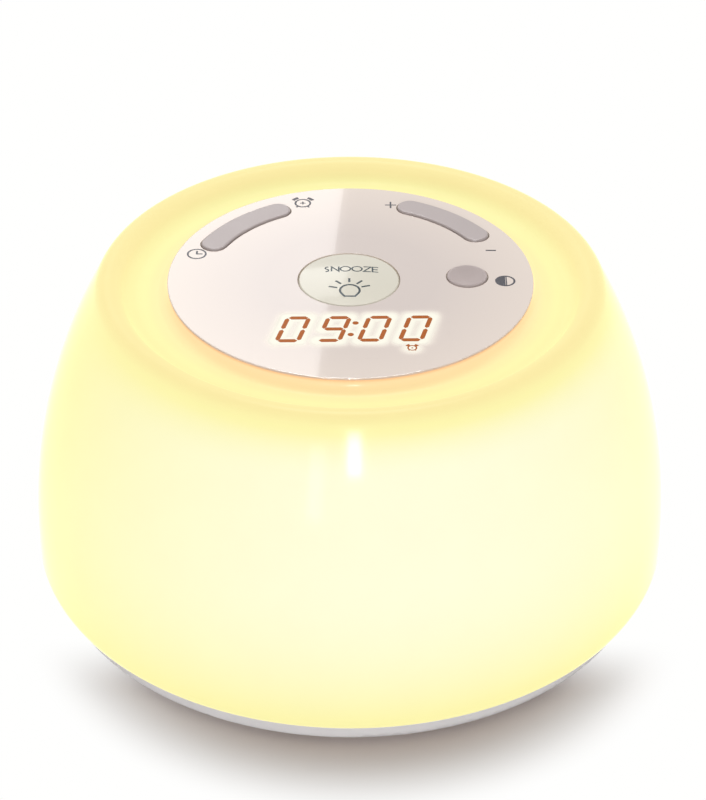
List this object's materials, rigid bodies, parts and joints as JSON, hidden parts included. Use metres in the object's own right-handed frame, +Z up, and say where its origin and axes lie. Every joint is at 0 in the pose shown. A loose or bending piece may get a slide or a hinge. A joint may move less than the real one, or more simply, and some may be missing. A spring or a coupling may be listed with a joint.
{
  "type": "sunrise alarm clock",
  "caption": "Dome-shaped lamp and alarm clock: glowing translucent shade on a white base, with a round control panel, LED time display, rocker and push keys on top.",
  "frame": {"origin": "middle of the footprint, on the surface the clock stands on", "axes": "+Z up through the dome's axis; the time display and the front face -Y; the power inlet faces +Y"},
  "size_m": [0.168, 0.168, 0.0899],
  "materials": {
    "shade_plastic": "glossy translucent white, lit warm yellow from inside",
    "base_plastic": "satin white moulding",
    "foot_rubber": "matt rubber",
    "steel": "plain plated steel",
    "cell_jacket": "plain dark jacket",
    "contact_metal": "bright nickel",
    "black_foam": "foam",
    "cone_paper": "pressed paper",
    "magnet": "sintered ferrite",
    "black_plastic": "matt black",
    "circuit_board": "white solder mask",
    "led_white": "clear resin, lit",
    "led_amber": "lit amber",
    "filter_film": "smoked film",
    "ribbon_grey": "grey ribbon",
    "lead_red": "soft sheath",
    "panel_plastic": "high gloss pearl white",
    "snooze_plastic": "pearl",
    "key_grey": "satin grey, slightly translucent"
  },
  "bodies": {
    "clock_body": {"diffuser_shade": "shade_plastic", "base_shell": "base_plastic", "rubber_feet": "foot_rubber", "base_screws": "steel", "aaa_cells": "cell_jacket", "battery_contacts": "contact_metal", "speaker_gasket": "black_foam", "speaker_basket": "steel", "speaker_cone": "cone_paper", "speaker_magnet": "magnet", "power_jack": "black_plastic", "lamp_board": "circuit_board", "lamp_board_screws": "steel", "lamp_leds": "led_white", "board_chips": "black_plastic", "board_capacitors": "black_plastic", "control_tray": "base_plastic", "tray_screws": "steel", "control_board": "circuit_board", "switch_bodies": "black_plastic", "display_module": "black_plastic", "display_segments": "led_amber", "display_filter": "filter_film", "ribbon_connectors": "base_plastic", "ribbon_cable": "ribbon_grey", "jack_leads": "lead_red", "speaker_leads": "lead_red", "control_panel": "panel_plastic"},
    "snooze_key": {"snooze_button": "snooze_plastic", "snooze_plunger": "black_plastic"},
    "brightness_key": {"brightness_button": "key_grey", "brightness_plunger": "black_plastic"},
    "mode_key": {"mode_rocker": "key_grey", "alarm_plunger": "black_plastic", "clock_plunger": "black_plastic"},
    "adjust_key": {"adjust_rocker": "key_grey", "minus_plunger": "black_plastic", "plus_plunger": "black_plastic"},
    "door": {"battery_door": "base_plastic"}
  },
  "joints": [
    {"name": "snooze_press", "type": "slide", "parent": "clock_body", "child": "snooze_key", "axis": [0, 0, -1], "range_m": [0, 0.0003], "stiffness_N_per_m": 2000},
    {"name": "brightness_press", "type": "slide", "parent": "clock_body", "child": "brightness_key", "axis": [0, 0, -1], "range_m": [0, 0.0003], "stiffness_N_per_m": 2000},
    {"name": "mode_rock", "type": "hinge", "parent": "clock_body", "child": "mode_key", "pos_m": [-0.02889, 0.02694, 0.0852], "axis": [-0.7314, 0.682, 0], "range_deg": [-1.3, 1.3], "stiffness_Nm_per_rad": 0.5},
    {"name": "adjust_rock", "type": "hinge", "parent": "clock_body", "child": "adjust_key", "pos_m": [0.02539, 0.03026, 0.0852], "axis": [0.6428, 0.766, 0], "range_deg": [-1.3, 1.3], "stiffness_Nm_per_rad": 0.5},
    {"name": "battery_door_hinge", "type": "hinge", "parent": "clock_body", "child": "door", "pos_m": [0, 0.00555, 0.0033], "axis": [-1, 0, 0], "range_deg": [0, 85]}
  ]
}
